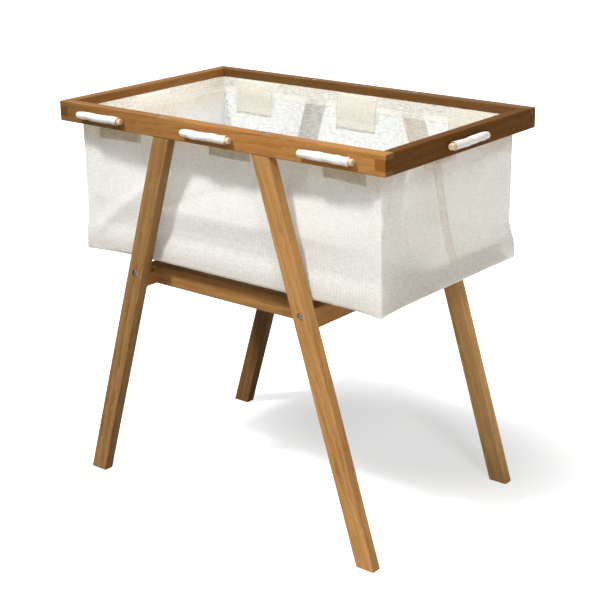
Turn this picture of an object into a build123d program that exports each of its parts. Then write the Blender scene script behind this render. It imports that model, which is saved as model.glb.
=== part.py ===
"""Bassinet on a splayed-leg stand.

A rectangular hardwood frame stands on four splayed legs, which two cross rails and two
beams tie together below. A fabric bag hangs in the frame: its eight loops pass out
through slots in the rails, and a loose wooden dowel through each loop keeps it there.

Millimetres, +Z up, +X along the frame's long side, the front at -Y. The origin is on
the floor, under the middle of the frame.
"""
from build123d import *
import math
import os

# ---------------------------------------------------------------- top frame and stock
FRAME_LENGTH = 850.0  # over the outer faces, along X
FRAME_DEPTH = 514.0  # over the outer faces, along Y
FRAME_HEIGHT = 840.0  # floor to the top face
STOCK = 24.0  # thickness of every rail, leg, cross rail and beam
RAIL_HEIGHT = 42.0
EDGE_ROUND = 2.5  # long edges of every bar
CORNER_ROUND = 3.0  # upright edges at the frame's corners
FINGER_HEIGHT = 22.0  # middle finger of the corner joints

# ---------------------------------------------------------------- legs and stretchers
LEG_WIDTH = 41.0  # square to the leg's own length
LEG_TOP_X = 130.0  # middle of the leg at the underside of the rail
LEG_FOOT_X = 378.0  # middle of the leg at the floor
STRETCHER_HEIGHT = 42.0
STRETCHER_DROP = 18.0  # underside of the bag to the top of the stretchers
BEAM_SETBACK = 27.0  # inner face of a leg to the face of the beam behind it
TENON_LENGTH = 12.0
TENON_THICKNESS = 12.0
TENON_SHOULDER = 8.0  # above and below the tenon

# ---------------------------------------------------------------- bolts, nuts and pins
BOLT_DIAMETER = 6.0
BOLT_HEAD_DIAMETER = 14.0
BOLT_HEAD_THICKNESS = 2.5
BOLT_HEAD_BEVEL = 0.6
BOLT_END_BEVEL = 0.5
HEX_ACROSS_FLATS = 4.0
HEX_DEPTH = 1.7
COUNTERBORE_DIAMETER = 16.0
RAIL_BOLT_SINK = 0.5  # head below the rail's top face
LEG_BOLT_SINK = 3.0  # head below the leg's outer face
HOLE_SLACK = 0.4  # on the diameter of a bolt's hole
BOLT_TAIL = 7.0  # bolt beyond the middle of its nut
NUT_DIAMETER = 10.0
NUT_LENGTH = 14.0
NUT_SLOT_WIDTH = 1.2
NUT_SLOT_DEPTH = 1.0
FIT_SLACK = 0.1  # on the diameter of a nut's hole, its thread and a pin's hole
LEG_NUT_DEPTH = 23.0  # middle of the nut below the top of the leg
CROSS_NUT_DEPTH = 17.0  # middle of the nut in from the end of the cross rail
PIN_DIAMETER = 8.0
PIN_LENGTH = 24.0
PIN_END_BEVEL = 0.8
LEG_PIN_OFFSET = 9.0  # middle of the leg to the pin, towards the middle of the frame
STRETCHER_BOLT_RISE = 11.0  # bolt above the stretcher's middle, and pin below it
HOLE_END_ROOM = 1.0  # hole beyond the end of what it holds

# ---------------------------------------------------------------- dowels and loops
DOWEL_DIAMETER = 12.7
DOWEL_LENGTH = 128.0
DOWEL_BARE_END = 10.0  # stretch that stands out of the loop
DOWEL_END_BEVEL = 1.0
CENTRE_MARK_DIAMETER = 2.4
CENTRE_MARK_DEPTH = 1.5
OUTER_DOWEL_INSET = 129.0  # end of the frame to the middle of the nearest dowel
LOOP_FABRIC = 1.2  # one layer
LOOP_ROLL = 1.75  # rolled layers round the dowel
LOOP_SLACK = 0.3  # dowel to loop, radial
LOOP_SEAT = 0.3  # loop to the rail's outer face
SLOT_HEIGHT = 5.0
SLOT_END_ROOM = 1.0  # slot beyond each end of the loop
OUTER_TAB_DROP = 55.0  # slot to the lower end of the loop's outer tab
INNER_TAB_DROP = 75.0  # the same for its inner tab

# ---------------------------------------------------------------- bag and bedding
FABRIC = 1.6  # wall and base of the bag
WALL_GAP = 11.0  # inner face of a rail to the wall
BAND_GAP = 4.0  # the same at the stiff band round the base
BAG_DEPTH = 295.0
BAND_HEIGHT = 41.0
BAND_TAPER = 34.0  # height over which the band runs into the wall
WALL_CORNER = 12.0
BAND_CORNER = 18.0
SEAM_WIDTH = 25.0
SEAM_THICKNESS = 1.0
BOARD_THICKNESS = 4.0
BOARD_ROOM = 0.8  # board to the band
MATTRESS_THICKNESS = 40.0
MATTRESS_ROOM = 1.0  # mattress to the loops' inner tabs
MATTRESS_CORNER = 34.0
MATTRESS_EDGE_ROUND = 9.0
MATTRESS_SEAT = 0.3  # mattress to the board

# ---------------------------------------------------------------- worked out from these
RAIL_BOTTOM = FRAME_HEIGHT - RAIL_HEIGHT
SLOT_Z = RAIL_BOTTOM + RAIL_HEIGHT / 2
BAG_TOP = SLOT_Z - LOOP_FABRIC
BAG_BOTTOM = BAG_TOP - BAG_DEPTH
STRETCHER_Z = BAG_BOTTOM - STRETCHER_DROP - STRETCHER_HEIGHT / 2
STRETCHER_BOLT_Z = STRETCHER_Z + STRETCHER_BOLT_RISE
STRETCHER_PIN_Z = STRETCHER_Z - STRETCHER_BOLT_RISE
LEG_SLOPE = (LEG_FOOT_X - LEG_TOP_X) / RAIL_BOTTOM
LEG_INNER_Y = FRAME_DEPTH / 2 - STOCK
LEG_MIDDLE_Y = FRAME_DEPTH / 2 - STOCK / 2
RAIL_BOLT_X = LEG_TOP_X + LEG_SLOPE * LEG_NUT_DEPTH
LEG_PIN_X = LEG_TOP_X - LEG_PIN_OFFSET
CROSS_X = LEG_TOP_X + LEG_SLOPE * (RAIL_BOTTOM - STRETCHER_BOLT_Z)
CROSS_INNER_X = CROSS_X - STOCK / 2
CROSS_NUT_Y = LEG_INNER_Y - CROSS_NUT_DEPTH
BEAM_Y = LEG_INNER_Y - BEAM_SETBACK - STOCK / 2
TENON_HEIGHT = STRETCHER_HEIGHT - 2 * TENON_SHOULDER
BOLT_HOLE = (BOLT_DIAMETER + HOLE_SLACK) / 2
NUT_HOLE = (NUT_DIAMETER + FIT_SLACK) / 2
NUT_THREAD = (BOLT_DIAMETER + FIT_SLACK) / 2
NUT_HOLE_DEPTH = (STOCK + NUT_LENGTH) / 2
PIN_HOLE = (PIN_DIAMETER + FIT_SLACK) / 2
PIN_HOLE_DEPTH = PIN_LENGTH / 2 + HOLE_END_ROOM
LOOP_LENGTH = DOWEL_LENGTH - DOWEL_BARE_END
LOOP_BORE = DOWEL_DIAMETER / 2 + LOOP_SLACK
LOOP_RADIUS = LOOP_BORE + LOOP_ROLL
DOWEL_STANDOFF = LOOP_SEAT + LOOP_RADIUS
OUTER_DOWEL = FRAME_LENGTH / 2 - OUTER_DOWEL_INSET

# A face of the frame as seen from outside it: its distance from the middle, the
# direction to the right, the direction towards the viewer, the places of its dowels
# along it, and the side to which they stand out of their loops.
FACES = {
    "front": (FRAME_DEPTH / 2, (1, 0, 0), (0, -1, 0), (-OUTER_DOWEL, 0, OUTER_DOWEL), 1),
    "back": (FRAME_DEPTH / 2, (-1, 0, 0), (0, 1, 0), (-OUTER_DOWEL, 0, OUTER_DOWEL), 1),
    "left": (FRAME_LENGTH / 2, (0, -1, 0), (-1, 0, 0), (0,), -1),
    "right": (FRAME_LENGTH / 2, (0, 1, 0), (1, 0, 0), (0,), -1),
}


def save(part, name):
    """Label a finished piece and write it."""
    part.label = name
    export_step(part, f"parts/{name}.step")


def face_plane(face, along=0.0, height=0.0, out=0.0):
    """Plane on a face of the frame: x to the right, y up, z towards the viewer."""
    distance, right, outward = FACES[face][:3]
    origin = Vector(*outward) * (distance + out) + Vector(*right) * along + Vector(0, 0, height)
    return Plane(origin=origin, x_dir=right, z_dir=outward)


def loop_places(face):
    """Middle of each loop along a face: it is flush with one end of its dowel."""
    places, bare_side = FACES[face][3:]
    return [place - bare_side * DOWEL_BARE_END / 2 for place in places]


os.makedirs("parts", exist_ok=True)

# ---------------------------------------------------------------- top frame
with BuildPart() as frame_blank:
    with BuildSketch(Plane.XY.offset(RAIL_BOTTOM)) as ring:
        Rectangle(FRAME_LENGTH, FRAME_DEPTH)
        fillet(ring.vertices(), CORNER_ROUND)
        Rectangle(FRAME_LENGTH - 2 * STOCK, FRAME_DEPTH - 2 * STOCK, mode=Mode.SUBTRACT)
    extrude(amount=RAIL_HEIGHT)
    fillet(frame_blank.faces().sort_by(Axis.Z)[-1].edges(), EDGE_ROUND)
    fillet(frame_blank.faces().sort_by(Axis.Z)[0].edges(), EDGE_ROUND)


def slots(face):
    """Outlines of the slots for the bag's loops in a rail's outer face."""
    with BuildSketch(face_plane(face)) as outlines:
        with Locations(*[(place, SLOT_Z) for place in loop_places(face)]):
            SlotOverall(LOOP_LENGTH + 2 * SLOT_END_ROOM, SLOT_HEIGHT)
    return outlines.sketch


def long_rail(face):
    """Front or back rail: open notches at its ends, slots, bolt holes and pin holes."""
    middle = FACES[face][2][1] * LEG_MIDDLE_Y
    with BuildPart() as rail:
        add(frame_blank.part)
        with BuildSketch(face_plane(face)):
            with Locations((0, SLOT_Z)):
                Rectangle(FRAME_LENGTH, RAIL_HEIGHT)
            with Locations((-FRAME_LENGTH / 2, SLOT_Z), (FRAME_LENGTH / 2, SLOT_Z)):
                Rectangle(2 * STOCK, FINGER_HEIGHT, mode=Mode.SUBTRACT)
        extrude(amount=-STOCK, mode=Mode.INTERSECT)
        extrude(slots(face), amount=-STOCK, mode=Mode.SUBTRACT)
        with Locations((-RAIL_BOLT_X, middle, FRAME_HEIGHT), (RAIL_BOLT_X, middle, FRAME_HEIGHT)):
            CounterBoreHole(BOLT_HOLE, COUNTERBORE_DIAMETER / 2, RAIL_BOLT_SINK + BOLT_HEAD_THICKNESS)
        with BuildSketch(Plane.XY.offset(RAIL_BOTTOM)):
            with Locations((-LEG_PIN_X, middle), (LEG_PIN_X, middle)):
                Circle(PIN_HOLE)
        extrude(amount=PIN_HOLE_DEPTH, mode=Mode.SUBTRACT)
    return rail.part


def short_rail(face):
    """Left or right rail, with a finger at each end that runs through to the long rail's face."""
    with BuildPart() as rail:
        add(frame_blank.part)
        with BuildSketch(face_plane(face)):
            with Locations((0, SLOT_Z)):
                Rectangle(FRAME_DEPTH - 2 * STOCK, RAIL_HEIGHT)
                Rectangle(FRAME_DEPTH, FINGER_HEIGHT)
        extrude(amount=-STOCK, mode=Mode.INTERSECT)
        extrude(slots(face), amount=-STOCK, mode=Mode.SUBTRACT)
    return rail.part


for face in ("front", "back"):
    save(long_rail(face), f"{face}_rail")
for face in ("left", "right"):
    save(short_rail(face), f"{face}_rail")

# ---------------------------------------------------------------- legs
with BuildPart() as front_right_leg:
    half_width = LEG_WIDTH / 2 * math.hypot(1, LEG_SLOPE)
    with BuildSketch(Plane.XZ.offset(LEG_INNER_Y)):
        with BuildLine():
            Polyline(
                (LEG_TOP_X - half_width, RAIL_BOTTOM),
                (LEG_TOP_X + half_width, RAIL_BOTTOM),
                (LEG_FOOT_X + half_width, 0),
                (LEG_FOOT_X - half_width, 0),
                close=True,
            )
        make_face()
    extrude(amount=STOCK)
    fillet(front_right_leg.edges().filter_by(Axis((0, 0, 0), (LEG_SLOPE, 0, -1))), EDGE_ROUND)
    # down from the top: the rail's bolt, and the pin beside it
    with BuildSketch(Plane.XY.offset(RAIL_BOTTOM)):
        with Locations((RAIL_BOLT_X, -LEG_MIDDLE_Y)):
            Circle(BOLT_HOLE)
    extrude(amount=-(LEG_NUT_DEPTH + BOLT_TAIL + HOLE_END_ROOM), mode=Mode.SUBTRACT)
    with BuildSketch(Plane.XY.offset(RAIL_BOTTOM)):
        with Locations((LEG_PIN_X, -LEG_MIDDLE_Y)):
            Circle(PIN_HOLE)
    extrude(amount=-PIN_HOLE_DEPTH, mode=Mode.SUBTRACT)
    # in from the inner face: the nut, and the cross rail's pin
    with BuildSketch(Plane.XZ.offset(LEG_INNER_Y)):
        with Locations((RAIL_BOLT_X, RAIL_BOTTOM - LEG_NUT_DEPTH)):
            Circle(NUT_HOLE)
    extrude(amount=NUT_HOLE_DEPTH, mode=Mode.SUBTRACT)
    with BuildSketch(Plane.XZ.offset(LEG_INNER_Y)):
        with Locations((CROSS_X, STRETCHER_PIN_Z)):
            Circle(PIN_HOLE)
    extrude(amount=PIN_HOLE_DEPTH, mode=Mode.SUBTRACT)
    # in from the outer face: the cross rail's bolt
    with Locations(face_plane("front", CROSS_X, STRETCHER_BOLT_Z)):
        CounterBoreHole(BOLT_HOLE, COUNTERBORE_DIAMETER / 2, LEG_BOLT_SINK + BOLT_HEAD_THICKNESS, STOCK)

front_left_leg = mirror(front_right_leg.part, about=Plane.YZ)
save(front_right_leg.part, "front_right_leg")
save(front_left_leg, "front_left_leg")
save(mirror(front_right_leg.part, about=Plane.XZ), "back_right_leg")
save(mirror(front_left_leg, about=Plane.XZ), "back_left_leg")

# ---------------------------------------------------------------- cross rails and beams
with BuildPart() as right_cross_rail:
    with BuildSketch(Plane.XZ.offset(-LEG_INNER_Y)):
        with Locations((CROSS_X, STRETCHER_Z)):
            Rectangle(STOCK, STRETCHER_HEIGHT)
    extrude(amount=2 * LEG_INNER_Y)
    fillet(right_cross_rail.edges().filter_by(Axis.Y), EDGE_ROUND)
    for end in (-1, 1):
        with BuildSketch(Plane.XZ.offset(end * LEG_INNER_Y)):
            with Locations((CROSS_X, STRETCHER_BOLT_Z)):
                Circle(BOLT_HOLE)
        extrude(amount=-end * (CROSS_NUT_DEPTH + BOLT_TAIL + HOLE_END_ROOM), mode=Mode.SUBTRACT)
        with BuildSketch(Plane.XZ.offset(end * LEG_INNER_Y)):
            with Locations((CROSS_X, STRETCHER_PIN_Z)):
                Circle(PIN_HOLE)
        extrude(amount=-end * PIN_HOLE_DEPTH, mode=Mode.SUBTRACT)
    with BuildSketch(Plane.YZ.offset(CROSS_INNER_X)):
        with Locations((-CROSS_NUT_Y, STRETCHER_BOLT_Z), (CROSS_NUT_Y, STRETCHER_BOLT_Z)):
            Circle(NUT_HOLE)
    extrude(amount=NUT_HOLE_DEPTH, mode=Mode.SUBTRACT)
    with BuildSketch(Plane.YZ.offset(CROSS_INNER_X)):
        with Locations((-BEAM_Y, STRETCHER_Z), (BEAM_Y, STRETCHER_Z)):
            Rectangle(TENON_THICKNESS, TENON_HEIGHT)
    extrude(amount=TENON_LENGTH, mode=Mode.SUBTRACT)

with BuildPart() as front_beam:
    with BuildSketch(Plane.YZ.offset(-CROSS_INNER_X)):
        with Locations((-BEAM_Y, STRETCHER_Z)):
            Rectangle(STOCK, STRETCHER_HEIGHT)
    extrude(amount=2 * CROSS_INNER_X)
    fillet(front_beam.edges().filter_by(Axis.X), EDGE_ROUND)
    with BuildSketch(Plane.YZ.offset(-CROSS_INNER_X - TENON_LENGTH)):
        with Locations((-BEAM_Y, STRETCHER_Z)):
            Rectangle(TENON_THICKNESS, TENON_HEIGHT)
    extrude(amount=2 * (CROSS_INNER_X + TENON_LENGTH))

save(right_cross_rail.part, "right_cross_rail")
save(mirror(right_cross_rail.part, about=Plane.YZ), "left_cross_rail")
save(front_beam.part, "front_beam")
save(mirror(front_beam.part, about=Plane.XZ), "back_beam")


# ---------------------------------------------------------------- bolts, nuts and pins
def flat_head_bolt(length):
    """Bolt with a flat hexagon-socket head on +Z and its shank down -Z."""
    with BuildPart() as bolt:
        with BuildSketch():
            Circle(BOLT_HEAD_DIAMETER / 2)
        extrude(amount=BOLT_HEAD_THICKNESS)
        chamfer(bolt.faces().sort_by(Axis.Z)[-1].edges(), BOLT_HEAD_BEVEL)
        with BuildSketch(Plane.XY.offset(BOLT_HEAD_THICKNESS)):
            RegularPolygon(HEX_ACROSS_FLATS / 2, 6, major_radius=False)
        extrude(amount=-HEX_DEPTH, mode=Mode.SUBTRACT)
        with BuildSketch():
            Circle(BOLT_DIAMETER / 2)
        extrude(amount=-length)
        chamfer(bolt.faces().sort_by(Axis.Z)[0].edges(), BOLT_END_BEVEL)
    return bolt.part


with BuildPart() as cross_nut:
    # lies along Z, with the bolt's hole across it and a slot in its end at +Z
    with BuildSketch(Plane.XY.offset(-NUT_LENGTH / 2)):
        Circle(NUT_DIAMETER / 2)
    extrude(amount=NUT_LENGTH)
    with BuildSketch(Plane.XY.offset(NUT_LENGTH / 2)):
        Rectangle(NUT_DIAMETER, NUT_SLOT_WIDTH)
    extrude(amount=-NUT_SLOT_DEPTH, mode=Mode.SUBTRACT)
    with BuildSketch(Plane.YZ.offset(-NUT_DIAMETER / 2)):
        Circle(NUT_THREAD)
    extrude(amount=NUT_DIAMETER, mode=Mode.SUBTRACT)

with BuildPart() as wood_pin:
    with BuildSketch(Plane.XY.offset(-PIN_LENGTH / 2)):
        Circle(PIN_DIAMETER / 2)
    extrude(amount=PIN_LENGTH)
    chamfer(wood_pin.edges().filter_by(GeomType.CIRCLE), PIN_END_BEVEL)


def four_of(part, place):
    """A piece at its place in the front right corner and in the other three corners."""
    with BuildPart() as group:
        with Locations(place):
            add(part)
        mirror(about=Plane.YZ)
        mirror(about=Plane.XZ)
    return group.part


rail_seat_z = FRAME_HEIGHT - RAIL_BOLT_SINK - BOLT_HEAD_THICKNESS
rail_bolt = flat_head_bolt(rail_seat_z - RAIL_BOTTOM + LEG_NUT_DEPTH + BOLT_TAIL)
save(four_of(rail_bolt, Plane((RAIL_BOLT_X, -LEG_MIDDLE_Y, rail_seat_z))), "rail_bolts")
leg_nut_at = (RAIL_BOLT_X, -LEG_MIDDLE_Y, RAIL_BOTTOM - LEG_NUT_DEPTH)
save(four_of(cross_nut.part, Plane(leg_nut_at, x_dir=(0, 0, 1), z_dir=(0, 1, 0))), "rail_bolt_nuts")

leg_seat_depth = LEG_BOLT_SINK + BOLT_HEAD_THICKNESS
leg_bolt = flat_head_bolt(STOCK - leg_seat_depth + CROSS_NUT_DEPTH + BOLT_TAIL)
save(four_of(leg_bolt, face_plane("front", CROSS_X, STRETCHER_BOLT_Z, -leg_seat_depth)), "leg_bolts")
cross_nut_at = (CROSS_X, -CROSS_NUT_Y, STRETCHER_BOLT_Z)
save(four_of(cross_nut.part, Plane(cross_nut_at, x_dir=(0, 1, 0), z_dir=(-1, 0, 0))), "leg_bolt_nuts")

save(four_of(wood_pin.part, Plane((LEG_PIN_X, -LEG_MIDDLE_Y, RAIL_BOTTOM))), "leg_top_pins")
cross_pin_at = (CROSS_X, -LEG_INNER_Y, STRETCHER_PIN_Z)
save(four_of(wood_pin.part, Plane(cross_pin_at, z_dir=(0, 1, 0))), "cross_rail_pins")

# ---------------------------------------------------------------- dowels and loops
with BuildPart() as dowel:
    # lies along X, with its bare end at +X
    with BuildSketch(Plane.YZ.offset(-DOWEL_LENGTH / 2)):
        Circle(DOWEL_DIAMETER / 2)
    extrude(amount=DOWEL_LENGTH)
    chamfer(dowel.edges().filter_by(GeomType.CIRCLE), DOWEL_END_BEVEL)
    with BuildSketch(Plane.YZ.offset(DOWEL_LENGTH / 2)):
        Circle(CENTRE_MARK_DIAMETER / 2)
    extrude(amount=-CENTRE_MARK_DEPTH, mode=Mode.SUBTRACT)

with BuildPart() as loop:
    # x along the rail, y up from the slot's middle, z out from the rail's outer face
    wall_out = -(STOCK + WALL_GAP)
    tab_in = wall_out - FABRIC - LOOP_FABRIC
    with BuildSketch(Plane((LOOP_LENGTH / 2, 0, 0), x_dir=(0, 0, 1), z_dir=(-1, 0, 0))):
        with Locations((DOWEL_STANDOFF, 0)):
            Circle(LOOP_RADIUS)
        with Locations((tab_in, 0)):
            Rectangle(DOWEL_STANDOFF - tab_in, 2 * LOOP_FABRIC, align=(Align.MIN, Align.CENTER))
            Rectangle(LOOP_FABRIC, INNER_TAB_DROP, align=(Align.MIN, Align.MAX))
        with Locations((wall_out, 0)):
            Rectangle(LOOP_FABRIC, OUTER_TAB_DROP, align=(Align.MIN, Align.MAX))
        with Locations((DOWEL_STANDOFF, 0)):
            Circle(LOOP_BORE, mode=Mode.SUBTRACT)
    extrude(amount=LOOP_LENGTH)

for face, (_, _, _, places, bare_side) in FACES.items():
    for number, place in enumerate(places, start=1):
        suffix = f"_{number}" if len(places) > 1 else ""
        with BuildPart() as placed_dowel:
            seat = face_plane(face, place, SLOT_Z, DOWEL_STANDOFF)
            with Locations(Plane(seat.origin, x_dir=seat.x_dir * bare_side, z_dir=seat.z_dir)):
                add(dowel.part)
        save(placed_dowel.part, f"{face}_dowel{suffix}")
        with BuildPart() as placed_loop:
            with Locations(face_plane(face, loop_places(face)[number - 1], SLOT_Z)):
                add(loop.part)
        save(placed_loop.part, f"{face}_loop{suffix}")


# ---------------------------------------------------------------- bag
def bag_outline(height, gap, corner, inset=0.0):
    """Rounded rectangle at a height, a gap inside the rails, taken in by inset."""
    margin = 2 * (STOCK + gap + inset)
    with BuildSketch(Plane.XY.offset(height)) as outline:
        RectangleRounded(FRAME_LENGTH - margin, FRAME_DEPTH - margin, corner - inset)
    return outline.sketch


def bag_form(inset):
    """The space inside the bag's outer surface, or inside its cloth when inset by it."""
    band_top = BAG_BOTTOM + BAND_HEIGHT
    wall_foot = band_top + BAND_TAPER
    band_foot = bag_outline(BAG_BOTTOM + FABRIC, BAND_GAP, BAND_CORNER, inset)
    band_edge = bag_outline(band_top, BAND_GAP, BAND_CORNER, inset)
    wall_edge = bag_outline(wall_foot, WALL_GAP, WALL_CORNER, inset)
    with BuildPart() as form:
        extrude(band_foot, amount=BAND_HEIGHT - FABRIC)
        loft([band_edge, wall_edge])
        extrude(wall_edge, amount=BAG_TOP - wall_foot)
    return form.part


with BuildPart() as bag_wall:
    add(bag_form(0))
    add(bag_form(FABRIC), mode=Mode.SUBTRACT)
save(bag_wall.part, "bag_wall")

with BuildPart() as bag_base:
    extrude(bag_outline(BAG_BOTTOM, BAND_GAP, BAND_CORNER), amount=FABRIC)
save(bag_base.part, "bag_base")

with BuildPart() as bag_seam:
    seam_foot = BAG_BOTTOM + BAND_HEIGHT + BAND_TAPER
    seam_top = SLOT_Z - OUTER_TAB_DROP
    with BuildSketch(face_plane("right", out=-(STOCK + WALL_GAP))):
        with Locations((0, (seam_foot + seam_top) / 2)):
            Rectangle(SEAM_WIDTH, seam_top - seam_foot)
    extrude(amount=SEAM_THICKNESS)
save(bag_seam.part, "bag_seam")

# ---------------------------------------------------------------- board and mattress
with BuildPart() as base_board:
    board_outline = bag_outline(BAG_BOTTOM + FABRIC, BAND_GAP, BAND_CORNER, FABRIC + BOARD_ROOM)
    extrude(board_outline, amount=BOARD_THICKNESS)
save(base_board.part, "base_board")

with BuildPart() as mattress:
    mattress_foot = BAG_BOTTOM + FABRIC + BOARD_THICKNESS + MATTRESS_SEAT
    mattress_gap = WALL_GAP + FABRIC + LOOP_FABRIC + MATTRESS_ROOM
    extrude(bag_outline(mattress_foot, mattress_gap, MATTRESS_CORNER), amount=MATTRESS_THICKNESS)
    fillet(mattress.faces().sort_by(Axis.Z)[-1].edges(), MATTRESS_EDGE_ROUND)
    fillet(mattress.faces().sort_by(Axis.Z)[0].edges(), MATTRESS_EDGE_ROUND)
save(mattress.part, "mattress")
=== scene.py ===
import math

import bpy
import numpy as np
from mathutils import Matrix, Vector, noise


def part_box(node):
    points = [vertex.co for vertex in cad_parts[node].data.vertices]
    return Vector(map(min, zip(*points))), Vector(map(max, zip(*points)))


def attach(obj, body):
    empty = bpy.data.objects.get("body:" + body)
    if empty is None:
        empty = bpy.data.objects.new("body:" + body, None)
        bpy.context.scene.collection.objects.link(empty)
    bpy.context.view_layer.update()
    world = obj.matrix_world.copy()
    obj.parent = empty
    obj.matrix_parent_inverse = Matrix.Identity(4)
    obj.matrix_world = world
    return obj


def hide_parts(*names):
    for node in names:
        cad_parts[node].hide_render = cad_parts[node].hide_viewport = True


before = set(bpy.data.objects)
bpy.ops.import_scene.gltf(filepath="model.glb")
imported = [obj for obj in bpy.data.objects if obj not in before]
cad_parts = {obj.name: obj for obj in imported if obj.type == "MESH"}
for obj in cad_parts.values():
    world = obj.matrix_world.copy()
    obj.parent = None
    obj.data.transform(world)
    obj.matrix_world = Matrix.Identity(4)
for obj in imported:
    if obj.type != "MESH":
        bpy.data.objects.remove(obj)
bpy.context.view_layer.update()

ROOT = "stand_and_bag"

# ---------------------------------------------------------------- sizes read from the CAD
RAIL_LOW, RAIL_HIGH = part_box("front_rail")
HALF_X = RAIL_HIGH.x
HALF_Y = -RAIL_LOW.y
STOCK = RAIL_HIGH.y - RAIL_LOW.y
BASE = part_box("bag_base")[0].z
DOWELS = (*(f"{side}_dowel_{number}" for side in ("front", "back") for number in (1, 2, 3)),
          "left_dowel", "right_dowel")
# A side of the bag as seen from outside: the direction to the right and the direction out.
SIDES = {
    "front": (Vector((1, 0, 0)), Vector((0, -1, 0))),
    "right": (Vector((0, 1, 0)), Vector((1, 0, 0))),
    "back": (Vector((-1, 0, 0)), Vector((0, 1, 0))),
    "left": (Vector((0, -1, 0)), Vector((-1, 0, 0))),
}


# ---------------------------------------------------------------- node helpers
def node(tree, kind, inputs=(), **settings):
    """A new shader node with its settings, its inputs set to values or linked to sockets."""
    new = tree.nodes.new("ShaderNode" + kind)
    for name, value in settings.items():
        setattr(new, name, value)
    for key, value in dict(inputs).items():
        if isinstance(value, bpy.types.NodeSocket):
            tree.links.new(value, new.inputs[key])
        else:
            new.inputs[key].default_value = value
    return new


def math_node(tree, operation, *values, clamp=False):
    return node(tree, "Math", enumerate(values), operation=operation, use_clamp=clamp).outputs[0]


def mix_colour(tree, factor, first, second, blend="MIX"):
    inputs = {"Factor": factor, 6: first, 7: second}
    return node(tree, "Mix", inputs, data_type="RGBA", blend_type=blend).outputs[2]


def ramp(tree, factor, stops):
    """A colour ramp; stops are (position, colour)."""
    new = node(tree, "ValToRGB", {"Fac": factor})
    elements = new.color_ramp.elements
    while len(elements) < len(stops):
        elements.new(0.5)
    for element, (position, colour) in zip(elements, stops):
        element.position = position
        element.color = (*colour, 1)
    return new.outputs["Color"]


def material(name):
    """A new material and its emptied node tree, with the output node."""
    new = bpy.data.materials.new(name)
    new.use_nodes = True
    new.node_tree.nodes.clear()
    return new, new.node_tree, node(new.node_tree, "OutputMaterial")


def finish_material(tree, output, shader):
    tree.links.new(shader.outputs[0], output.inputs["Surface"])


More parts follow.
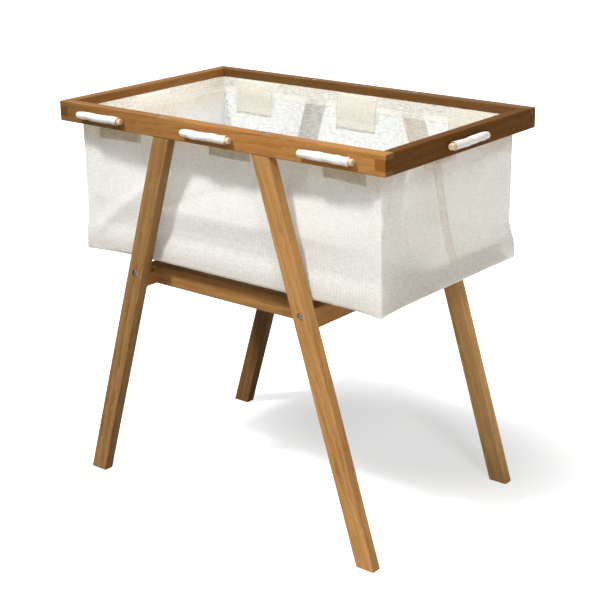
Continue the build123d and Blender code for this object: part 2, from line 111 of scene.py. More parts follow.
# ---------------------------------------------------------------- materials
def wood(name, grain, tone, seed, end=0.0, roughness=0.5, figure=1.0, painted_falloff=0.0, gloss=0.06):
    """Oiled or bare wood whose grain runs along a direction. tone is its middle colour, end how much
    darker its end grain is, figure the strength of its growth rings, painted_falloff how much darker its far
    half gets against its grain's direction, which is painted shade where the light falls off along the
    board, and gloss the strength of its reflections."""
    made, tree, output = material(name)
    to_grain = Vector(grain).normalized().rotation_difference(Vector((1, 0, 0))).to_euler()
    place = node(tree, "TexCoord").outputs["Object"]
    board = node(tree, "Mapping", {"Vector": place, "Rotation": to_grain}).outputs[0]
    spot = Vector((seed * 0.73, 0.052 + 0.013 * (seed % 4), 0.046 - 0.02 * (seed % 3)))
    tilt = (0, 0.035, 0.03)
    board = node(tree, "Mapping", {"Vector": board, "Location": spot, "Rotation": tilt}).outputs[0]

    def streaks(along, across, detail=3.0, rough=0.55):
        """Noise that is drawn out along the grain."""
        scaled = node(tree, "Mapping", {"Vector": board, "Scale": (along, across, across)}).outputs[0]
        inputs = {"Vector": scaled, "Scale": 1.0, "Detail": detail, "Roughness": rough}
        return node(tree, "TexNoise", inputs).outputs["Fac"]

    rings = node(tree, "TexWave", {
        "Vector": node(tree, "Mapping", {"Vector": board, "Scale": (0.09, 1, 1)}).outputs[0],
        "Scale": 21.0, "Distortion": 5.0, "Detail": 2.0, "Detail Scale": 9.0, "Detail Roughness": 0.6,
    }, wave_type="RINGS", rings_direction="X", wave_profile="SAW").outputs["Fac"]
    broad, bands = streaks(1.3, 9), streaks(4, 110)
    fibres, pores = streaks(9, 620, 2.0), streaks(45, 1700, 1.0)
    level = math_node(tree, "MULTIPLY_ADD", rings, 0.18 * figure, math_node(tree, "MULTIPLY", broad, 0.75))
    level = math_node(tree, "MULTIPLY_ADD", bands, 0.60, level)
    level = math_node(tree, "MULTIPLY_ADD", fibres, 0.42, level)
    level = math_node(tree, "SUBTRACT", level, 0.475)
    dark = [c * k for c, k in zip(tone, (0.64, 0.56, 0.46))]
    light = [c * k for c, k in zip(tone, (1.24, 1.30, 1.36))]
    colour = ramp(tree, level, [(0.20, dark), (0.5, tone), (0.8, light)])
    # Painted shade: the board darkens over its far half, where the light falls off along it.
    if painted_falloff:
        along = node(tree, "VectorMath", {0: place, 1: Vector(grain).normalized()}, operation="DOT_PRODUCT")
        fading = {0: along.outputs["Value"], 1: -0.45, 2: 0.05, 3: 1 - painted_falloff, 4: 1.0}
        shade = node(tree, "MapRange", fading).outputs[0]
        colour = mix_colour(tree, shade, (*[c * 0.1 for c in dark], 1), colour)
    pore_mask = math_node(tree, "MULTIPLY", math_node(tree, "LESS_THAN", pores, 0.37), 0.28)
    colour = mix_colour(tree, pore_mask, colour, (*[c * 0.4 for c in dark], 1))
    if end:
        normal = node(tree, "NewGeometry").outputs["Normal"]
        facing = node(tree, "VectorMath", {0: normal, 1: Vector(grain).normalized()},
                      operation="DOT_PRODUCT")
        facing = math_node(tree, "ABSOLUTE", facing.outputs["Value"])
        speckle = node(tree, "TexNoise", {"Vector": place, "Scale": 700.0, "Detail": 2.0}).outputs["Fac"]
        cut = [c * k * (1 - end) for c, k in zip(tone, (0.92, 0.92, 1.15))]
        grainy = ramp(tree, speckle, [(0.38, [c * 0.72 for c in cut]), (0.62, cut)])
        colour = mix_colour(tree, math_node(tree, "GREATER_THAN", facing, 0.8), colour, grainy)
    bump = node(tree, "Bump", {"Height": fibres, "Strength": 0.15, "Distance": 0.0005})
    rough = math_node(tree, "MULTIPLY_ADD", fibres, 0.25, roughness - 0.12)
    surface = {"Base Color": colour, "Roughness": rough, "Normal": bump.outputs[0], "Specular IOR Level": gloss}
    finish_material(tree, output, node(tree, "BsdfPrincipled", surface))
    return made


# The heights between which the shade under the rail grows to its full strength.
RIM_SHADE_FROM, RIM_SHADE_TO = 0.735, 0.79


def cloth(name, colour, pitch=0.003, closed=1.0, slub=0.25, weave=0.5, glow=0.35, shade=0.9, rim=None):
    """Woven cloth in its UV map's metres. closed is the share that its threads cover, which slub and
    weave vary from thread to thread and from thread to pore, glow the share of light that comes through
    them, shade how dark the thinnest threads are, and rim what its colour is multiplied by under the
    rail, where the wood shades it."""
    made, tree, output = material(name)
    place = node(tree, "UVMap", uv_map="cloth").outputs[0]

    def threads(direction, along, across):
        """Height of one set of threads, and how thick each of them is along its run."""
        wave = node(tree, "TexWave", {"Vector": place, "Scale": math.pi / 10 / pitch, "Distortion": 0.9,
                                      "Detail": 1.0, "Detail Scale": 0.3, "Detail Roughness": 0.5},
                    wave_type="BANDS", bands_direction=direction, wave_profile="SIN").outputs["Fac"]
        scale = (along, across, 1) if direction == "Y" else (across, along, 1)
        scaled = node(tree, "Mapping", {"Vector": place, "Scale": scale}).outputs[0]
        uneven = node(tree, "TexNoise", {"Vector": scaled, "Scale": 1.0, "Detail": 2.0, "Roughness": 0.6})
        return wave, uneven.outputs["Fac"]

    weft, weft_slub = threads("Y", 60, 340)
    warp, warp_slub = threads("X", 60, 340)
    height = math_node(tree, "MAXIMUM", weft, warp)
    uneven = math_node(tree, "MULTIPLY_ADD", weft_slub, 0.62, math_node(tree, "MULTIPLY", warp_slub, 0.38))
    tone = math_node(tree, "MULTIPLY_ADD", height, 0.3, math_node(tree, "MULTIPLY", uneven, 0.7))
    base = ramp(tree, tone, [(0.35, [c * shade for c in colour]), (0.7, colour)])
    if rim:
        height_above = node(tree, "SeparateXYZ", {0: node(tree, "TexCoord").outputs["Object"]}).outputs["Z"]
        near_rim = node(tree, "MapRange", {0: height_above, 1: RIM_SHADE_FROM, 2: RIM_SHADE_TO},
                        interpolation_type="SMOOTHSTEP").outputs[0]
        base = mix_colour(tree, near_rim, base, mix_colour(tree, 1.0, base, (*rim, 1), "MULTIPLY"))
    bump = node(tree, "Bump", {"Height": height, "Strength": 0.35, "Distance": 0.0006}).outputs[0]
    made_of = node(tree, "BsdfPrincipled", {"Base Color": base, "Roughness": 0.9, "Normal": bump,
                                            "Specular IOR Level": 0.1})
    if glow:
        through = node(tree, "BsdfTranslucent", {"Color": base, "Normal": bump})
        made_of = node(tree, "MixShader", {0: glow, 1: made_of.outputs[0], 2: through.outputs[0]})
    if closed < 1:
        cover = math_node(tree, "MULTIPLY_ADD", math_node(tree, "SUBTRACT", uneven, 0.5), 6 * slub, closed)
        gap = math_node(tree, "SUBTRACT", height, 0.68)
        cover = math_node(tree, "MULTIPLY_ADD", gap, weave, cover, clamp=True)
        clear = node(tree, "BsdfTransparent")
        made_of = node(tree, "MixShader", {0: cover, 1: clear.outputs[0], 2: made_of.outputs[0]})
    finish_material(tree, output, made_of)
    return made


def zinc(name, level):
    """Zinc plating, dulled in patches; level is how bright it is."""
    made, tree, output = material(name)
    place = node(tree, "TexCoord").outputs["Object"]
    patches = node(tree, "TexNoise", {"Vector": place, "Scale": 420.0, "Detail": 4.0}).outputs["Fac"]
    dull, bright = [level * c for c in (0.42, 0.44, 0.42)], [level * c for c in (0.97, 1.0, 0.96)]
    colour = ramp(tree, patches, [(0.3, dull), (0.7, bright)])
    rough = math_node(tree, "MULTIPLY_ADD", patches, 0.3, 0.2)
    shader = node(tree, "BsdfPrincipled", {"Base Color": colour, "Roughness": rough, "Metallic": 1.0})
    finish_material(tree, output, shader)
    return made


ALONG_X, ALONG_Y = (1, 0, 0), (0, 1, 0)
LEG_WIDTH = 0.043
OAK = (0.355, 0.16, 0.043)
BIRCH = (0.76, 0.56, 0.36)


def leg_grain(name):
    """Direction of a leg: its middle line leans by its box's length less its own width."""
    low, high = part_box(name)
    lean = high.x - low.x - LEG_WIDTH
    return (lean if low.x > 0 else -lean, 0, low.z - high.z)


def dress(name, finish):
    """Give a CAD node its material."""
    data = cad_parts[name].data
    data.materials.clear()
    data.materials.append(finish)


# Each member's grain, how light it is, how yellow, the strength of its figure, how much darker
# its end grain is, how much painted shade darkens its far half, and its gloss. How light a member is
# holds its board's own tone and also painted shade and light: the back rail, the left rail, the
# front-left leg and the back-left leg are darker and the back-right leg lighter, for how the light
# falls off across the stand or reaches them.
MEMBERS = {
    "front_rail": (ALONG_X, 0.86, 0.0, 2.8, 0.45, 0.5, 0.06),
    "back_rail": (ALONG_X, 0.36, 0.1, 1.0, 0.1, 0, 0.06),
    "left_rail": (ALONG_Y, 0.55, -0.1, 1.0, 0.25, 0, 0.06),
    "right_rail": (ALONG_Y, 0.27, -0.45, 2.0, -2.0, 0, 0.02),
    "left_cross_rail": (ALONG_Y, 0.75, 0.0, 1.0, 0.1, 0, 0.06),
    "right_cross_rail": (ALONG_Y, 0.72, 0.0, 1.0, 0.1, 0, 0.06),
    "front_beam": (ALONG_X, 0.74, 0.25, 2.2, 0.1, 0, 0.06),
    "back_beam": (ALONG_X, 0.85, 0.0, 1.0, 0.1, 0, 0.06),
    "front_left_leg": (None, 0.67, 0.5, 3.0, 0.1, 0, 0.06),
    "front_right_leg": (None, 0.99, 0.4, 2.2, 0.1, 0, 0.06),
    "back_left_leg": (None, 0.50, 0.4, 1.2, 0.1, 0, 0.06),
    "back_right_leg": (None, 1.30, 0.8, 1.6, 0.1, 0, 0.06),
}
for seed, (name, (grain, level, yellow, figure, end, painted_falloff, gloss)) in enumerate(MEMBERS.items()):
    tone = (OAK[0] * level, OAK[1] * level * (1 + 0.3 * yellow), OAK[2] * level * (1 + yellow))
    dress(name, wood(name + "_wood", grain or leg_grain(name), tone, seed, end, 0.5, figure, painted_falloff, gloss))
for seed, name in enumerate(DOWELS):
    dress(name, wood(name + "_wood", SIDES[name.split("_")[0]][0], BIRCH, seed + 14, 0.1, 0.6, 0.3))
dress("leg_top_pins", wood("upright_pin_wood", (0, 0, 1), BIRCH, 23, 0.1, 0.6))
dress("cross_rail_pins", wood("level_pin_wood", ALONG_Y, BIRCH, 24, 0.1, 0.6))
dress("base_board", wood("board_wood", ALONG_X, (0.66, 0.50, 0.31), 25, 0.4, 0.7, 0.5))
for place, level in (("rail", 0.48), ("leg", 0.30)):
    for name in (place + "_bolts", place + "_bolt_nuts"):
        dress(name, zinc(name + "_zinc", level))

CREAM = (0.96, 0.96, 0.93)
# From one thread to the next, in the bag's mesh, in the tabs and in the fine cloths.
MESH_PITCH, TAB_PITCH, FINE_PITCH = 0.0034, 0.0022, 0.0016
mesh_cloth = cloth("bag_mesh", CREAM, MESH_PITCH, closed=0.86, slub=0.10, weave=0.4, glow=0.47,
                   rim=(0.97, 0.87, 0.75))
# The right end wall's cloth is a darker copy of the bag's mesh with a stronger, warmer shade under the rail:
# painted shade for the end, which faces away from the key light.
shaded_end_cloth = cloth("shaded_end_mesh", (0.89, 0.88, 0.845), MESH_PITCH, closed=0.86, slub=0.14, weave=0.4, glow=0.47,
                  rim=(0.81, 0.74, 0.66))
thin_cloth = cloth("thin_mesh", (0.89, 0.93, 0.905), MESH_PITCH, closed=0.76, slub=0.28, weave=0.5,
                   glow=0.50, shade=0.97)
hem_cloth = cloth("hem_cloth", (0.94, 0.92, 0.85), closed=0.64, slub=0.22, weave=0.35, glow=0.32)
base_cloth = cloth("base_cloth", CREAM, glow=0.1)
inner_cloth = cloth("inner_tab_cloth", (0.97, 0.945, 0.87), TAB_PITCH, closed=0.55, slub=0.12, weave=0.2,
                    glow=0.48)
# The tabs outside the bag are a darker, warmer copy of the cloth of the tabs inside it: painted shade of the
# rail above them.
shaded_outer_cloth = cloth("shaded_outer_tab_cloth", (0.91, 0.86, 0.73), TAB_PITCH, closed=0.55, slub=0.15, weave=0.2,
                    glow=0.45)
roll_cloth = cloth("roll_cloth", (0.86, 0.85, 0.81), FINE_PITCH, glow=0.15)
tape_cloth = cloth("tape_cloth", (0.97, 0.92, 0.87), 0.0012, closed=0.5, slub=0.1, weave=0.1, glow=0.5)
cover_cloth = cloth("cover_cloth", (0.64, 0.62, 0.57), FINE_PITCH, glow=0.1)


# ---------------------------------------------------------------- mesh helpers
def mesh_piece(name, points, faces, finish, uv=None, smooth=True):
    """A mesh object from points and faces; uv holds each point's place in its cloth, in metres."""
    data = bpy.data.meshes.new(name)
    data.from_pydata([tuple(p) for p in points], [], faces)
    if uv is not None:
        layer = data.uv_layers.new(name="cloth")
        for loop in data.loops:
            layer.data[loop.index].uv = uv[loop.vertex_index]
    data.polygons.foreach_set("use_smooth", [smooth] * len(data.polygons))
    data.materials.append(finish)
    piece = bpy.data.objects.new(name, data)
    bpy.context.scene.collection.objects.link(piece)
    return piece


def grid_faces(rows, columns, closed=False):
    """Quads between rows of points; closed joins each row's last column to its first."""
    faces = []
    for row in range(rows - 1):
        for column in range(columns if closed else columns - 1):
            after = (column + 1) % columns
            faces.append((row * columns + column, row * columns + after,
                          (row + 1) * columns + after, (row + 1) * columns + column))
    return faces


# ---------------------------------------------------------------- shape of the bag
# The bag's profile: heights, its inset from the frame's outer face at the corners at each height, and what
# the middle of a side adds to that, both written in mm.
HEIGHTS = np.array((BASE, BASE + 0.0017, BASE + 0.006, 0.545, 0.556, 0.566, 0.576, 0.586, 0.60, 0.62,
                    0.64, 0.67, 0.70, 0.73, 0.755, 0.775, 0.79, 0.803, 0.813, 0.8215))
CORNER_INSET = np.array((31, 28.5, 27.5, 27.5, 27.8, 28.5, 30, 31.5, 32, 32,
                         32, 32, 32, 32, 32, 32, 32, 31.5, 31, 30.5)) / 1000
SIDE_ADDS = {
    "front": np.array((0, 0, 0, 0.4, 1.2, 2.4, 3.8, 4.6, 5.2, 4.8,
                       4.4, 9.5, 15.5, 22, 26.5, 27, 22.5, 13, 3, -4.3)) / 1000,
    "right": np.array((0, 0, 0, 0.3, 0.8, 1.6, 3.6, 6.5, 10, 14,
                       17, 20.5, 24, 27, 29.5, 29.5, 25, 14, 3, -4.3)) / 1000,
    "back": np.array((0, 0, 0, 1, 2, 3, 4, 4.5, 5, 5.5,
                      6, 6.5, 6.5, 6, 5, 4, 2.5, 0.5, -2, -4.3)) / 1000,
    "left": np.array((0, 0, 0, 1, 2, 3, 4, 5, 6, 7.5,
                      9, 10.5, 11, 11, 10, 8, 5.5, 2.5, -1, -4.3)) / 1000,
}
CORNER_RADIUS = 0.004
STEP = 0.006  # between the points of the bag's cloth
# Where the bottom corners hang: how far down, how far along the sides, and how far out.
CORNERS = {(-1, -1): (0.009, 0.20, 0.0), (1, -1): (0.006, 0.10, 0.0), (1, 1): (0.0, 0.10, 0.005),
           (-1, 1): (0.004, 0.12, 0.0)}
# The corners hang from this height down.
CORNER_DROP_FROM = 0.60


def side_inset(side, along, height):
    """Inset of the bag at a place along a side, -1 to 1 from corner to corner, and a height."""
    adds = np.interp(height, HEIGHTS, SIDE_ADDS[side])
    flatness = np.interp(height, (0.57, 0.60, 0.78, 0.82), (5.0, 3.0, 3.2, 9.0))
    return np.interp(height, HEIGHTS, CORNER_INSET) + adds * (1 - np.abs(along) ** flatness)


# Folds in a side: its points (along in metres, height), how far it stands out, and its width.
FOLDS = {
    "front": [
        (((-0.215, 0.675), (-0.285, 0.625), (-0.35, 0.575)), 0.0045, 0.015),
        (((-0.352, 0.745), (-0.356, 0.70), (-0.35, 0.64)), 0.003, 0.012),
        (((-0.335, 0.735), (-0.338, 0.69)), 0.002, 0.008),
        (((0.10, 0.625), (0.27, 0.625), (0.36, 0.63)), -0.0025, 0.020),
    ],
    "right": [
        (((-0.137, 0.775), (-0.168, 0.74), (-0.190, 0.705), (-0.214, 0.675), (-0.225, 0.65)), -0.008, 0.007),
        (((-0.165, 0.775), (-0.192, 0.735), (-0.208, 0.70)), 0.006, 0.015),
        (((-0.110, 0.785), (-0.140, 0.735), (-0.160, 0.69)), 0.004, 0.014),
        (((-0.128, 0.69), (-0.124, 0.61)), -0.003, 0.009),
    ],
    "back": [
        (((-0.215, 0.675), (-0.285, 0.625), (-0.35, 0.575)), 0.004, 0.014),
        (((0.20, 0.70), (0.27, 0.64), (0.34, 0.58)), 0.004, 0.014),
    ],
    "left": [
        (((-0.13, 0.775), (-0.18, 0.72), (-0.215, 0.66)), 0.004, 0.011),
        (((0.12, 0.78), (0.16, 0.74), (0.20, 0.69)), -0.004, 0.011),
    ],
}


def fold_out(side, metres, height):
    """How far the folds push a side out."""
    out = np.zeros_like(height)
    for line, rise, width in FOLDS[side]:
        nearest = np.full_like(height, 9.0)
        for (x0, z0), (x1, z1) in zip(line, line[1:]):
            length2 = (x1 - x0) ** 2 + (z1 - z0) ** 2
            share = np.clip(((metres - x0) * (x1 - x0) + (height - z0) * (z1 - z0)) / length2, 0, 1)
            away = np.hypot(metres - x0 - share * (x1 - x0), height - z0 - share * (z1 - z0))
            nearest = np.minimum(nearest, away)
        out += rise * np.exp(-(nearest / width) ** 2)
    return out


def wall_points(side, metres, height, inwards=0.0):
    """Points of the bag's wall on a side, from places along it in metres and heights."""
    right, outward = SIDES[side]
    half_along, half_out = (HALF_X, HALF_Y) if abs(right.x) > 0.5 else (HALF_Y, HALF_X)
    corner = np.interp(height, HEIGHTS, CORNER_INSET)
    inset = side_inset(side, np.clip(metres / (half_along - corner), -1, 1), height)
    out = half_out - inset + fold_out(side, metres, height) - inwards
    across = (metres * right.x + out * outward.x, metres * right.y + out * outward.y)
    return np.stack([*across, height], axis=-1)


def bag_ring(heights, inwards=0.0, corner_steps=3):
    """Rows of points round the bag, one row a height, with each point's place in the cloth and its side."""
    columns, distances, sides, travelled = [], [], [], 0.0
    corner = np.interp(heights, HEIGHTS, CORNER_INSET)
    radius = CORNER_RADIUS
    for side, (right, outward) in SIDES.items():
        half_along, half_out = (HALF_X, HALF_Y) if abs(right.x) > 0.5 else (HALF_Y, HALF_X)
        count = int(2 * half_along / STEP)
        for share in np.linspace(-1, 1, count):
            columns.append(wall_points(side, share * (half_along - corner - radius), heights, inwards))
            distances.append(travelled + (share + 1) * (half_along - 0.036))
        travelled = distances[-1]
        centre_along, centre_out = half_along - corner - radius, half_out - corner - radius
        for turn in np.linspace(0, math.pi / 2, corner_steps + 2)[1:-1]:
            along = centre_along + (radius - inwards) * math.sin(turn)
            out = centre_out + (radius - inwards) * math.cos(turn)
            columns.append(np.stack([along * right.x + out * outward.x, along * right.y + out * outward.y,
                                     heights], axis=-1))
            distances.append(travelled + radius * turn)
        sides += [side] * (len(columns) - len(sides))
        travelled += radius * math.pi / 2
    points = np.stack(columns, axis=1)
    for (x_sign, y_sign), (drop, reach, flare) in CORNERS.items():
        away = (np.abs(x_sign * (HALF_X - 0.03) - points[..., 0])
                + np.abs(y_sign * (HALF_Y - 0.03) - points[..., 1]))
        near = np.clip(1 - away / reach, 0, 1) ** 2
        low = np.clip((CORNER_DROP_FROM - points[..., 2]) / (CORNER_DROP_FROM - BASE), 0, 1)
        points[..., 2] -= drop * near * low
        points[..., 0] += x_sign * flare * near * np.sqrt(low)
        points[..., 1] += y_sign * flare * near * np.sqrt(low)
    uv = np.stack(np.broadcast_arrays(np.array(distances)[None, :], heights[:, None]), axis=-1)
    return points, uv, sides


def ring_piece(name, heights, finish, inwards=0.0, side_finishes=()):
    """A piece that goes round the bag, with a finish of their own on some sides."""
    points, uv, sides = bag_ring(heights, inwards)
    rows, columns = points.shape[:2]
    faces = grid_faces(rows, columns, True)
    piece = mesh_piece(name, points.reshape(-1, 3), faces, finish, uv.reshape(-1, 2))
    if side_finishes:
        slots = {side: slot for slot, (side, _) in enumerate(side_finishes, 1)}
        for _, side_finish in side_finishes:
            piece.data.materials.append(side_finish)
        indices = [slots.get(side, 0) for side in sides] * (rows - 1)
        piece.data.polygons.foreach_set("material_index", indices)
    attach(piece, ROOT)
    return piece


# Rounded, so that no two rows lie almost on each other.
wall_rows = np.unique(np.round(np.concatenate([HEIGHTS, np.arange(0.533, 0.82, STEP)]), 4))
bag = ring_piece("bag_walls", wall_rows, mesh_cloth,
                 side_finishes=(("back", thin_cloth), ("right", shaded_end_cloth)))
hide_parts("bag_wall")
hem = ring_piece("bag_hem", np.linspace(0.788, 0.8225, 10), hem_cloth, 0.0008)

# ---------------------------------------------------------------- base of the bag
FLOOR_HEIGHT = BASE - 0.0002
outline = bag_ring(np.array((BASE,)))[0][0]
count = len(outline)
base_points = [(*(Vector(p[:2]) * share), FLOOR_HEIGHT) for share in (1.0, 0.96, 0.5) for p in outline]
base_points.append((0, 0, FLOOR_HEIGHT))
base_faces = grid_faces(3, count, True)
base_faces += [(2 * count + i, 2 * count + (i + 1) % count, 3 * count) for i in range(count)]
base = mesh_piece("bag_floor", base_points, base_faces, base_cloth, [(p[0], p[1]) for p in base_points])
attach(base, ROOT)
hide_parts("bag_base")


# ---------------------------------------------------------------- tabs, tape and rolls
PATCH_THICKNESS = 0.0006


def wall_patch(name, side, left, right, bottom, top, outwards, finish, lean=0.0):
    """A patch sewn on a side of the bag; lean moves its lower edge along the side."""
    columns, rows = (max(2, int(length / STEP)) + 1 for length in (right - left, top - bottom))
    across, up = np.meshgrid(np.linspace(left, right, columns), np.linspace(bottom, top, rows))
    moved = across + lean * (top - up) / (top - bottom)
    points = wall_points(side, moved, up, -outwards)
    uv = np.stack([across, up], axis=-1).reshape(-1, 2)
    piece = mesh_piece(name, points.reshape(-1, 3), grid_faces(rows, columns), finish, uv)
    thick = piece.modifiers.new("thickness", "SOLIDIFY")
    thick.thickness = PATCH_THICKNESS
    thick.offset = 0
    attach(piece, ROOT)
    return piece


def place_on(side, along, out, height):
    """A point beside a side: along it from its middle, out from the frame's outer face, and up."""
    right, outward = SIDES[side]
    half_out = HALF_Y if abs(right.x) > 0.5 else HALF_X
    return right * along + outward * (half_out + out) + Vector((0, 0, height))


ROLL_RADIUS = 0.0083
ROLL_BORE = 0.0067
ROLL_SKIN = 0.0072  # what lies further out is the roll's outer face
ROLL_AROUND = 32


def roll(name, side, start, end, standoff, height, seed):
    """Cloth rolled round a dowel, gathered shut at its start and cut open at its end."""
    way = 1 if end > start else -1
    length = abs(end - start)
    # The section of the roll, as (place along it, radius): over the outside, round the rim, up the bore.
    outside = [(-0.0016, 0.0005), (-0.0013, 0.0034), (0.0002, 0.0058), (0.003, 0.0069), (0.008, 0.0076)]
    outside += [(along, ROLL_RADIUS) for along in np.linspace(0.016, length - 0.006, 22)]
    rim = [(length - 0.001, 0.0088), (length, 0.0086), (length, 0.0080), (length - 0.003, 0.0074)]
    inside = [(along, ROLL_BORE) for along in np.linspace(length - 0.008, 0.006, 6)] + [(0.0016, 0.003)]

    def unevenness(angle, along, rise, finer, wider, shift):
        """Noise on the cloth's surface at a place along the roll and an angle round it."""
        spot = Vector((along * finer, wider * math.cos(angle), wider * math.sin(angle) + shift * seed))
        return rise * noise.noise(spot)

    points, uv = [], []
    for along, radius in outside + rim + inside:
        outer = radius > ROLL_SKIN
        for turn in range(ROLL_AROUND):
            angle = 2 * math.pi * turn / ROLL_AROUND
            lumps = unevenness(angle, along, 0.0013, 55, 0.9, 3.1)
            twist = unevenness(angle, along, 0.0008, 150, 2.2, 5.7)
            gathers = 0.0005 * math.sin(7 * angle + seed) * max(0, 1 - abs(along - 0.003) / 0.008)
            grown = radius + (lumps + twist) * outer + gathers * (radius > 0.005)
            slant = 0.0022 * math.cos(angle - 0.6) + 0.0008 * math.sin(3 * angle + seed)
            slant *= along > 0.95 * length
            out = standoff + grown * math.cos(angle)
            up = height + grown * math.sin(angle) + 0.0004 * math.sin(along * 75 + 1.7 * seed) * outer
            points.append(place_on(side, start + way * (along + slant), out, up))
            uv.append((along, angle * ROLL_RADIUS))
    faces = grid_faces(len(points) // ROLL_AROUND, ROLL_AROUND, True)
    if way < 0:
        faces = [face[::-1] for face in faces]
    piece = mesh_piece(name, points, faces, roll_cloth, uv)
    smooth = piece.modifiers.new("smooth", "SUBSURF")
    smooth.levels = smooth.render_levels = 1
    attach(piece, ROOT)
    return piece


STRIP_HALF = 0.0011  # half the thickness of the doubled cloth


def strip(name, side, left, right, outer, inner, height):
    """The doubled cloth that goes through a slot, a little lower at its inner end."""
    corners = [(left, outer), (right, outer), (right, inner), (left, inner)]
    points = [place_on(side, along, out, height + up - (0.0013 if out == inner else 0))
              for up in (-STRIP_HALF, STRIP_HALF) for along, out in corners]
    faces = [(0, 3, 2, 1), (4, 5, 6, 7), (0, 1, 5, 4), (1, 2, 6, 5), (2, 3, 7, 6), (3, 0, 4, 7)]
    uv = [(along, out) for _ in (0, 1) for along, out in corners]
    piece = mesh_piece(name, points, faces, roll_cloth, uv, smooth=False)
    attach(piece, ROOT)
    return piece


TAB_HALF = 0.054
INNER_TAB_TOP, INNER_TAB_OUT = 0.8205, -0.0014
OUTER_TAB_TOP, OUTER_TAB_FOOT, OUTER_TAB_OUT = 0.8165, 0.763, 0.0009
TAB_SHIFT = 0.008  # how far some tabs lie from the middle of their loop
for seed, name in enumerate(DOWELS):
    side = name.split("_")[0]
    loop = name.replace("dowel", "loop")
    right, outward = SIDES[side]
    low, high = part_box(loop)
    dowel_low, dowel_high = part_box(name)
    ends = sorted((low.dot(right), high.dot(right)))
    dowel_ends = sorted((dowel_low.dot(right), dowel_high.dot(right)))
    bare_right = dowel_ends[1] - ends[1] > ends[0] - dowel_ends[0]
    centre = (dowel_low + dowel_high) / 2
    half_out = HALF_Y if abs(right.x) > 0.5 else HALF_X
    standoff = centre.dot(outward) - half_out
    start, end = (ends[0], ends[1]) if bare_right else (ends[1], ends[0])
    rolled = roll(loop + "_roll", side, start, end, standoff, centre.z, seed)
    through = strip(loop + "_strip", side, ends[0] + 0.001, ends[1] - 0.001, standoff - 0.006,
                    -STOCK - 0.003, centre.z)
    middle = (ends[0] + ends[1]) / 2
    below = low.z if side in ("back", "left") else low.z + 0.02
    inner_middle = middle + (TAB_SHIFT if side == "back" else 0)
    outer_middle = middle + (TAB_SHIFT if side == "front" else 0)
    inner = wall_patch(loop + "_inner_tab", side, inner_middle - TAB_HALF, inner_middle + TAB_HALF,
                       below, INNER_TAB_TOP, INNER_TAB_OUT, inner_cloth)
    outer = wall_patch(loop + "_outer_tab", side, outer_middle - TAB_HALF, outer_middle + TAB_HALF,
                       OUTER_TAB_FOOT, OUTER_TAB_TOP, OUTER_TAB_OUT, shaded_outer_cloth)
    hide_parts(loop)

TAPE_LEFT, TAPE_RIGHT, TAPE_LOW, TAPE_HIGH, TAPE_LEAN = -0.017, 0.008, 0.566, 0.772, 0.022
TAPE_OUT, SEAM_OUT = 0.0009, 0.0014
SEAM_FOOT, SEAM_MARGIN = 0.532, 0.002
tape = wall_patch("end_seam_tape", "right", TAPE_LEFT, TAPE_RIGHT, TAPE_LOW, TAPE_HIGH, TAPE_OUT,
                  tape_cloth, TAPE_LEAN)


def stitches(name, side, lines, finish):
    """Rows of raised stitches on the bag, along lines of (along, height)."""
    stitch, pitch, thick = 0.0036, 0.0052, 0.0005
    points, faces = [], []
    for (x0, z0), (x1, z1) in lines:
        run = math.hypot(x1 - x0, z1 - z0)
        for place in np.arange(0, run - stitch, pitch):
            shares = (place + stitch * np.array((0, 0.25, 0.75, 1))) / run
            rise = thick * np.array((0.1, 1, 1, 0.1))
            first = len(points)
            for offset, lift in ((-thick, 0), (0, 1), (thick, 0)):
                across, up = x0 + (x1 - x0) * shares + offset, z0 + (z1 - z0) * shares
                points += list(wall_points(side, across, up, -SEAM_OUT - rise * lift))
            faces += [tuple(first + i for i in face) for face in grid_faces(3, 4)]
    piece = mesh_piece(name, points, faces, finish, [(p[1], p[2]) for p in points])
    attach(piece, ROOT)
    return piece


edges = (TAPE_LEFT + SEAM_MARGIN, TAPE_RIGHT - SEAM_MARGIN)
seam_lines = [((x, TAPE_HIGH), (x + TAPE_LEAN, TAPE_LOW)) for x in edges]
seam_lines += [((x + TAPE_LEAN, TAPE_LOW), (x + TAPE_LEAN, SEAM_FOOT)) for x in edges]
seam = stitches("end_seam_stitches", "right", seam_lines, roll_cloth)
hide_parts("bag_seam")

# ---------------------------------------------------------------- mattress
low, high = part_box("mattress")
half_x, half_y, thick = high.x, high.y, high.z - low.z
# The radius of its corners seen from above, and how far in its outline shrinks without turning sharp.
PAD_CORNER, PAD_SHARP = 0.034, 0.03


def pad_outline(grow):
    """Rounded rectangle of the mattress, taken in by -grow: each corner and then the side after it."""
    radius = PAD_CORNER + grow
    flat_x, flat_y = half_x - PAD_CORNER, half_y - PAD_CORNER
    points = []
    for quarter, (x_sign, y_sign) in enumerate(((1, 1), (-1, 1), (-1, -1), (1, -1))):
        for turn in np.linspace(0, math.pi / 2, 9):
            angle = quarter * math.pi / 2 + turn
            points.append((x_sign * flat_x + radius * math.cos(angle),
                           y_sign * flat_y + radius * math.sin(angle)))
        for share in np.linspace(1, -1, 26)[1:-1]:
            points.append(((share * flat_x, half_y + grow), (-half_x - grow, share * flat_y),
                           (-share * flat_x, -half_y - grow), (half_x + grow, -share * flat_y))[quarter])
    return points


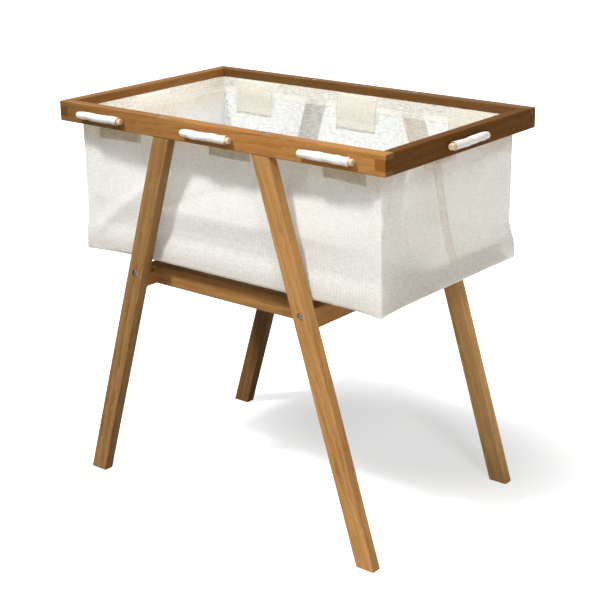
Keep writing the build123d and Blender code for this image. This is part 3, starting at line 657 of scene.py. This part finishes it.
# Rows from the bottom up to the crown: how far in, and how high.
pad_rows = [(-0.012, 0.0), (-0.004, 0.0015), (-0.0008, 0.006), (0, 0.013), (0, thick - 0.013),
            (-0.0008, thick - 0.006), (-0.004, thick - 0.0015), (-0.012, thick + 0.0005),
            (-0.05, thick + 0.003), (-0.12, thick + 0.0045)]
pad_points, pad_uv = [], []
for grow, up in pad_rows:
    for x, y in pad_outline(max(grow, -PAD_SHARP)):
        if grow < -PAD_SHARP:
            shrink = 1 + (grow + PAD_SHARP) / half_y
            x, y = x * shrink, y * shrink
        pad_points.append((x, y, low.z + up))
        pad_uv.append((x, y + up))
count = len(pad_points) // len(pad_rows)
pad_faces = grid_faces(len(pad_rows), count, True)
pad_points += [(0, 0, low.z + thick + 0.005), (0, 0, low.z)]
pad_uv += [(0, 0), (0, 0)]
top_row = (len(pad_rows) - 1) * count
pad_faces += [(top_row + i, top_row + (i + 1) % count, len(pad_points) - 2) for i in range(count)]
pad_faces += [((i + 1) % count, i, len(pad_points) - 1) for i in range(count)]
pad = mesh_piece("mattress_pad", pad_points, pad_faces, cover_cloth, pad_uv)
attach(pad, "mattress_body")
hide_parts("mattress")

# ---------------------------------------------------------------- stage, light and camera
def white_rays(tree):
    """1 for what the camera and the metal see, which is a white background."""
    path = node(tree, "LightPath").outputs
    return math_node(tree, "ADD", path["Is Camera Ray"], path["Is Glossy Ray"], clamp=True)


floor_material, tree, output = material("floor_white")
place = node(tree, "NewGeometry").outputs["Position"]
# The floor glows white far from the object and shows its shadow in an oval behind and beside it.
oval = {"Vector": place, "Location": (-0.10, -0.64, 0), "Scale": (1.35, 2.2, 1)}
near = node(tree, "Mapping", oval).outputs[0]
away = node(tree, "VectorMath", {0: near}, operation="LENGTH").outputs["Value"]
backdrop = node(tree, "MapRange", {0: away, 1: 0.25, 2: 0.85, 3: 0.57, 4: 1.0},
                interpolation_type="SMOOTHSTEP").outputs[0]
# It throws more light back up on its right, and what the camera sees of it is a plain grey.
seen = node(tree, "LightPath").outputs["Is Camera Ray"]
rightwards = node(tree, "SeparateXYZ", {0: place}).outputs["X"]
bounce = node(tree, "MapRange", {0: rightwards, 1: 0.2, 2: 0.7, 3: 0.0, 4: 1.0}).outputs[0]
bounce = mix_colour(tree, bounce, (0.22, 0.213, 0.2, 1), (0.9, 0.88, 0.85, 1))
lit = node(tree, "BsdfDiffuse", {"Color": mix_colour(tree, seen, bounce, (0.37, 0.37, 0.37, 1))})
strength = math_node(tree, "MULTIPLY", white_rays(tree), backdrop)
white = node(tree, "Emission", {"Color": (1, 1, 1, 1), "Strength": strength})
finish_material(tree, output, node(tree, "AddShader", {0: lit.outputs[0], 1: white.outputs[0]}))
FLOOR_HALF = 6
corners = [(x * FLOOR_HALF, y * FLOOR_HALF, 0) for x, y in ((-1, -1), (1, -1), (1, 1), (-1, 1))]
floor = mesh_piece("floor", corners, [(0, 1, 2, 3)], floor_material)

world = bpy.data.worlds.new("studio")
bpy.context.scene.world = world
world.use_nodes = True
tree = world.node_tree
tree.nodes.clear()
studio = mix_colour(tree, white_rays(tree), (0.185, 0.18, 0.172, 1), (1, 1, 1, 1))
sky = node(tree, "Background", {"Color": studio, "Strength": 1.0})
tree.links.new(sky.outputs[0], node(tree, "OutputWorld").inputs["Surface"])


def lamp(name, kind, towards, energy, spread, at=(0, 0, 0)):
    """A lamp that shines towards a direction; spread is a sun's angle in degrees or a panel's side."""
    data = bpy.data.lights.new(name, kind)
    data.energy = energy
    if kind == "SUN":
        data.angle = math.radians(spread)
    else:
        data.size = spread
    placed = bpy.data.objects.new(name, data)
    placed.location = at
    placed.rotation_euler = Vector(towards).to_track_quat("-Z", "Y").to_euler()
    bpy.context.scene.collection.objects.link(placed)


lamp("key", "SUN", (0.3, 1.0, -1.68), 4.3, 8)
lamp("fill", "SUN", (-1.0, 0.8, -1.1), 1.0, 12)
lamp("inner", "AREA", (-1.42, -0.27, -0.92), 0.6, 0.25, (1.0, 0.25, 1.72))
bpy.data.lights["inner"].spread = math.radians(28)

# The camera that fits the photograph: where it stands, how far it turns, looks down and leans.
CAMERA_PLACE = (1.87558, -2.25659, 1.42638)
turn, tilt, bank = math.radians(39.54), math.radians(90 - 19.08), math.radians(-0.90)
camera = bpy.data.cameras.new("camera")
camera.lens = 86.29
camera.sensor_width = 36
camera_object = bpy.data.objects.new("camera", camera)
camera_object.matrix_world = (Matrix.Translation(CAMERA_PLACE) @ Matrix.Rotation(turn, 4, "Z")
                              @ Matrix.Rotation(tilt, 4, "X") @ Matrix.Rotation(bank, 4, "Z"))
bpy.context.scene.collection.objects.link(camera_object)
bpy.context.scene.camera = camera_object
bpy.context.scene.view_settings.view_transform = "Standard"
